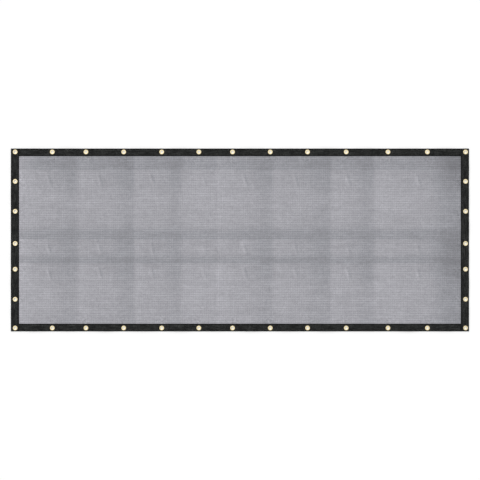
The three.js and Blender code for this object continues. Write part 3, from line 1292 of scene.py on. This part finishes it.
@dataclass(frozen=True)
class Grommet:
    """A pressed grommet: a rolled front flange with its barrel, closed on a toothless back washer.

    Attributes:
        mouth: Radius of the opening.
        barrel: Outer radius of the barrel.
        washer: Radius of the back washer.
        flange: Radius of the front flange.
        crown: Radius of the flange's highest ring.
        washer_thick: Thickness of the back washer.
        washer_round: Depth of its rounded rim.
        washer_dome: Place and height of its dome, as shares of its radius and thickness.
        crown_height: Height of the crown above the tape.
        lip_height: How far the crown's round goes down towards the mouth.
        lip_depth: How much further it goes before it is the barrel.
        rim_roll: Radius of the flange's rolled rim.
        dome_foot: Height of the foot of the crown's outer arc, in such radii.
        dome_edge: Distance of that foot from the rim, in the same.
        curl: Radii of the barrel's curl at the back.
        rim_shade: How much painted shade darkens the rim.
        mouth_edge: Distance from the mouth over which it is polished bright by use.
        under_reach: Height over which the patina under the flange fades.
        facets: Number of faces round it.
        arc_steps: Number of faces in each arc of its section.
    """

    mouth: float = 8 * MM
    barrel: float = 9 * MM
    washer: float = 15 * MM
    flange: float = 15.8 * MM
    crown: float = 11.7 * MM
    washer_thick: float = 1.0 * MM
    washer_round: float = 0.4 * MM
    washer_dome: Pair = (0.7, 1.05)
    crown_height: float = 1.6 * MM
    lip_height: float = 0.9 * MM
    lip_depth: float = 0.7 * MM
    rim_roll: float = 0.55 * MM
    dome_foot: float = 1.5
    dome_edge: float = 0.9
    curl: Pair = (0.9 * MM, 1.0 * MM)
    rim_shade: float = 0.7
    mouth_edge: float = 1.0 * MM
    under_reach: float = 0.9 * MM
    facets: int = 64
    arc_steps: int = 7

    def arc(self, centre: Pair, radii: Pair, start: float, end: float) -> list[Pair]:
        """Lists points of an elliptic arc.

        Args:
            centre: Its centre, as (radius, height).
            radii: Its two radii.
            start: The first angle, in degrees.
            end: The last angle.

        Returns:
            The points, as (radius, height).
        """
        angles = [
            math.radians(start + (end - start) * k / self.arc_steps)
            for k in range(self.arc_steps + 1)
        ]
        return [
            (centre[0] + radii[0] * math.cos(a), centre[1] + radii[1] * math.sin(a))
            for a in angles
        ]

    def profile(self) -> list[Pair]:
        """Lists the points of the grommet's section, as (radius, height), all the way round."""
        roll = self.rim_roll
        half, rounded = self.washer_thick / 2, self.washer_round
        washer_rim = self.arc((self.washer - rounded, half), (rounded, half), -90, 90)
        rim = self.arc((self.flange - roll, FLANGE_BOTTOM + roll), (roll, roll), -90, 60)
        foot = roll * self.dome_foot
        spread = (self.flange - roll * self.dome_edge - self.crown, self.crown_height - foot)
        outside = self.arc((self.crown, FLANGE_BOTTOM + foot), spread, 25, 90)
        top, deep = FLANGE_BOTTOM + self.crown_height, self.lip_height + self.lip_depth
        inside = self.arc((self.crown, top - deep), (self.crown - self.mouth, deep), 100, 178)
        curl = self.arc((self.mouth + self.curl[0], self.curl[1]), self.curl, 180, 268)
        dome = (self.washer * self.washer_dome[0], self.washer_thick * self.washer_dome[1])
        barrel = [(self.barrel, self.washer_thick), (self.barrel, FLANGE_BOTTOM)]
        return [*washer_rim, dome, *barrel, *rim, *outside, *inside, *curl]

    def build(self, node: str, material: bpy.types.Material, turn: float) -> bpy.types.Object:
        """Makes one grommet.

        Args:
            node: The CAD node that it stands for.
            material: Its finish.
            turn: How far it is turned about its own axis.

        Returns:
            The grommet.
        """
        middle = middle_of(node)
        bm = bmesh.new()
        verts = [bm.verts.new((radius, 0, height)) for radius, height in self.profile()]
        ring = [bm.edges.new(pair) for pair in zip(verts, verts[1:] + verts[:1])]
        bmesh.ops.spin(
            bm,
            geom=verts + ring,
            cent=(0, 0, 0),
            axis=(0, 0, 1),
            angle=math.tau,
            steps=self.facets,
            use_merge=True,
        )
        bmesh.ops.remove_doubles(bm, verts=bm.verts, dist=MERGE_DISTANCE)
        bmesh.ops.recalc_face_normals(bm, faces=bm.faces)
        shelter_and_rim_shade = bm.verts.layers.float.new("shelter_and_rim_shade")
        for vert in bm.verts:
            radius, height = math.hypot(vert.co.x, vert.co.y), vert.co.z
            outside = smooth(radius - self.mouth, self.mouth_edge)
            under = outside * (1 - smooth(height - FLANGE_BOTTOM, self.under_reach))
            # Painted shade darkens the rim's outer ring; under the flange the metal has patina.
            at_rim = smooth(radius - self.crown, self.flange - self.crown)
            vert[shelter_and_rim_shade] = min(1.0, self.rim_shade * at_rim + under)
        spot = Matrix.Translation((middle.x, middle.y, 0))
        bmesh.ops.transform(bm, matrix=spot @ Matrix.Rotation(turn, 4, "Z"), verts=bm.verts)
        piece = finished(node.replace("grommet", "eyelet"), bm, material)
        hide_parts(node)
        return piece


@dataclass(frozen=True)
class Studio:
    """The pale floor, the soft lights and the camera straight above.

    Attributes:
        seen_width: Width of the ground that the photograph's frame takes in.
        aim: Place that the camera looks at.
        lens_mm: Focal length.
        sensor_mm: Width of the sensor.
        floor_size: Width of the floor.
        sky: Strength of the sky's light. The camera itself sees the sky at full strength.
        sun: Strength of the soft sun.
        sun_spread: How wide the sun is.
        sun_turn: How the sun is turned from straight down.
    """

    seen_width: float = 3.193
    aim: Pair = (0.5 * MM, -0.5 * MM)
    lens_mm: float = 100.0
    sensor_mm: float = 36.0
    floor_size: float = 60.0
    sky: float = 0.72
    sun: float = 1.45
    sun_spread: float = math.radians(80)
    sun_turn: Triple = (math.radians(-34), math.radians(-16), 0.0)

    def build(self) -> None:
        """Makes the floor, the lights and the camera."""
        self.floor()
        self.lights()
        self.camera()

    def floor(self) -> None:
        """Makes the floor."""
        bm = bmesh.new()
        bmesh.ops.create_grid(bm, x_segments=1, y_segments=1, size=self.floor_size / 2)
        bmesh.ops.translate(bm, vec=(0, 0, GROUND_LEVEL), verts=bm.verts)
        mesh = as_mesh("floor", bm)
        mesh.materials.append(GroundFinish().build())
        floor = in_scene("floor", mesh)

    def lights(self) -> None:
        """Makes an even sky, brighter where the camera sees it, and one soft sun."""
        world = bpy.data.worlds.new("studio")
        bpy.context.scene.world = world
        world.use_nodes = True
        nodes = Nodes(world.node_tree)
        background = nodes.add("ShaderNodeBackground")
        seen = nodes.add("ShaderNodeLightPath").outputs["Is Camera Ray"]
        nodes.feed(background.inputs["Strength"], nodes.remap(seen, 0.0, 1.0, self.sky, 1.0))
        background.inputs["Color"].default_value = (1, 1, 1, 1)
        output = nodes.add("ShaderNodeOutputWorld")
        nodes.tree.links.new(background.outputs[0], output.inputs["Surface"])
        light = bpy.data.lights.new("soft_sun", "SUN")
        light.energy = self.sun
        light.angle = self.sun_spread
        in_scene("soft_sun", light).rotation_euler = self.sun_turn

    def camera(self) -> None:
        """Makes the camera, which looks straight down with the top edge up."""
        distance = self.seen_width * self.lens_mm / self.sensor_mm
        lens = bpy.data.cameras.new("camera")
        lens.lens = self.lens_mm
        lens.sensor_width = self.sensor_mm
        lens.clip_end = 10 * distance
        camera = in_scene("camera", lens)
        camera.location = (*self.aim, distance + TAPE_TOP)
        bpy.context.scene.camera = camera
        bpy.context.scene.view_settings.view_transform = "Standard"


def make_lay() -> Lay:
    """Works out how the cloth lies, from the grommets' places and the tables of lifts and folds.

    Returns:
        The lay of the whole cloth.
    """
    across = tuple(middle_of(node).x + WIDTH / 2 for node in grommet_nodes(Edge.TOP))
    upright = [middle_of(node).y for node in grommet_nodes(Edge.LEFT)]
    corners = [middle_of(node).y for node in ("grommet_top_01", "grommet_bottom_01")]
    down = tuple(HEIGHT / 2 - y for y in (corners[0], *upright, corners[1]))
    lifts_mm = {
        Edge.TOP: (1.6, 3.4, 1.1, 2.3, 3.0, 1.4, 2.7, 0.8, 3.1, 2.0, 1.2, 2.6),
        Edge.BOTTOM: (2.2, 1.2, 3.0, 1.5, 2.6, 0.9, 3.3, 1.8, 2.4, 1.0, 2.9, 1.7),
        Edge.LEFT: (1.3, 2.5, 1.0, 2.0, 2.9, 1.5),
        Edge.RIGHT: (2.1, 1.0, 2.8, 1.4, 2.2, 1.1),
    }
    runs = {
        edge: Run(down, lifts, HEIGHT, END_TAPE + FLAT_AT_TAPE)
        if edge.upright
        else Run(across, lifts, WIDTH, SIDE_TAPE + FLAT_AT_TAPE)
        for edge, lifts in lifts_mm.items()
    }
    upright_ridges = (
        Ridge(at_mm=392, height_mm=4.4, reach_mm=75, kept=0.55),
        Ridge(at_mm=730, height_mm=5.4, reach_mm=85, kept=0.75),
        Ridge(at_mm=1071, height_mm=4.8, reach_mm=80, kept=0.5),
        Ridge(at_mm=1378, height_mm=3.8, reach_mm=60, kept=0.9),
        Ridge(at_mm=1706, height_mm=5.0, reach_mm=80, kept=0.6),
        Ridge(at_mm=2070, height_mm=5.8, reach_mm=90, kept=0.7),
        Ridge(at_mm=2410, height_mm=4.2, reach_mm=75, kept=0.55),
        Ridge(at_mm=2860, height_mm=6.1, reach_mm=95, kept=0.85),
    )
    cross_folds = (
        Ridge(at_mm=139, height_mm=4.8, reach_mm=48),
        Ridge(at_mm=605, height_mm=5.4, reach_mm=45),
        Ridge(at_mm=761, height_mm=4.5, reach_mm=40),
    )
    columns = ((246, 1.0), (584, 0.9), (933, 0.8), (1279, 0.6))
    columns += ((1550, 1.0), (1888, 0.8), (2236, 0.9), (2702, 0.8))
    rows = ((212, 104, 1.0), (671, 100, 0.9), (832, 98, 1.0))
    creases = tuple(
        Crease(at_mm, down_mm, length_mm, in_column * in_row)
        for at_mm, in_column in columns
        for down_mm, length_mm, in_row in rows
    )
    return Lay(runs, upright_ridges, cross_folds, creases)


def make_panel(lay: Lay) -> MeshPanel:
    """Gives the mesh panel its bands of painted shade and light at the folds.

    Args:
        lay: How the cloth lies.

    Returns:
        The panel, not built yet.
    """
    # Bands of painted shade and light down the mesh, each turning at a fold.
    shades_down = (
        Shade(at_mm=30, turn_mm=6, light=0.17, light_reach_mm=130),
        Shade(at_mm=445, turn_mm=18, dark=0.075, dark_reach_mm=120, light=0.07, light_reach_mm=90),
        Shade(at_mm=822, turn_mm=8, dark=0.095, dark_reach_mm=125, light=0.06, light_reach_mm=90),
        Shade(at_mm=1138, turn_mm=22, dark=0.075, dark_reach_mm=100, light=0.07, light_reach_mm=90),
        Shade(at_mm=1215, turn_mm=30, light=0.05, light_reach_mm=260),
        Shade(at_mm=1372, turn_mm=8, light=0.07, light_reach_mm=130),
        Shade(at_mm=1374, turn_mm=3, light=0.05, light_reach_mm=13),
        Shade(at_mm=1745, turn_mm=14, dark=0.08, dark_reach_mm=120, light=0.06, light_reach_mm=80),
        Shade(at_mm=2128, turn_mm=7, dark=0.092, dark_reach_mm=145, light=0.06, light_reach_mm=90),
        Shade(
            at_mm=2418, turn_mm=14, dark=0.078, dark_reach_mm=115, light=0.08, light_reach_mm=180
        ),
        Shade(at_mm=3040, turn_mm=6, dark=0.26, dark_reach_mm=210),
    )
    # Bands of painted shade and light across the mesh, each turning at a fold.
    shades_across = (
        Shade(at_mm=141, turn_mm=3, dark=0.17, dark_reach_mm=120),
        Shade(at_mm=285, turn_mm=40, light=0.06, light_reach_mm=210),
        Shade(at_mm=605, turn_mm=3, dark=0.17, dark_reach_mm=72),
        Shade(at_mm=764, turn_mm=4, dark=0.17, dark_reach_mm=52, light=0.02, light_reach_mm=60),
        Shade(at_mm=872, turn_mm=40, light=0.06, light_reach_mm=250),
    )
    return MeshPanel(lay, shades_down, shades_across)


def make_tape(edge: Edge, lay: Lay) -> Tape:
    """Sets out one edge's tape. The side tapes run the whole height, and the others butt on them.

    Args:
        edge: The edge.
        lay: How the cloth lies.

    Returns:
        The tape, not built yet.
    """
    run = lay.runs[edge]
    corner = middle_of(f"grommet_top_{'13' if edge is Edge.RIGHT else '01'}")
    if edge.upright:
        inset = WIDTH / 2 - abs(corner.x)
        return Tape(edge, run, SIDE_TAPE, 0.0, HEIGHT, run.stops, inset, True)
    inset = HEIGHT / 2 - abs(middle_of(f"grommet_{edge.value}_01").y)
    butt = SIDE_TAPE + TAPE_GAP
    return Tape(edge, run, END_TAPE, butt, WIDTH - butt, run.stops[1:-1], inset, False)


def main() -> None:
    """Builds the windscreen and its studio."""
    logging.basicConfig(level=logging.INFO, format="%(message)s")
    Studio().build()
    lay = make_lay()
    design = make_panel(lay)
    panel = design.build(KnitFinish().build())
    log.info("%s: %d faces", panel.name, len(panel.data.polygons))
    tape_finish, thread_finish = TapeFinish().build(), ThreadFinish().build()
    sewing = Sewing()
    for edge in Edge:
        tape_design = make_tape(edge, lay)
        tape = tape_design.build(tape_finish)
        rows = tape_design.sew(thread_finish, sewing)
        log.info("%s: %d faces", tape.name, len(tape.data.polygons))
        log.info("%s: %d faces", rows.name, len(rows.data.polygons))
    brass = BrassFinish().build()
    grommet = Grommet()
    turns = Random(TURN_SEED)
    for edge in Edge:
        for node in grommet_nodes(edge):
            piece = grommet.build(node, brass, turns.uniform(0, math.tau))
            log.info("%s: %d faces", piece.name, len(piece.data.polygons))


if __name__ == "__main__":
    main()
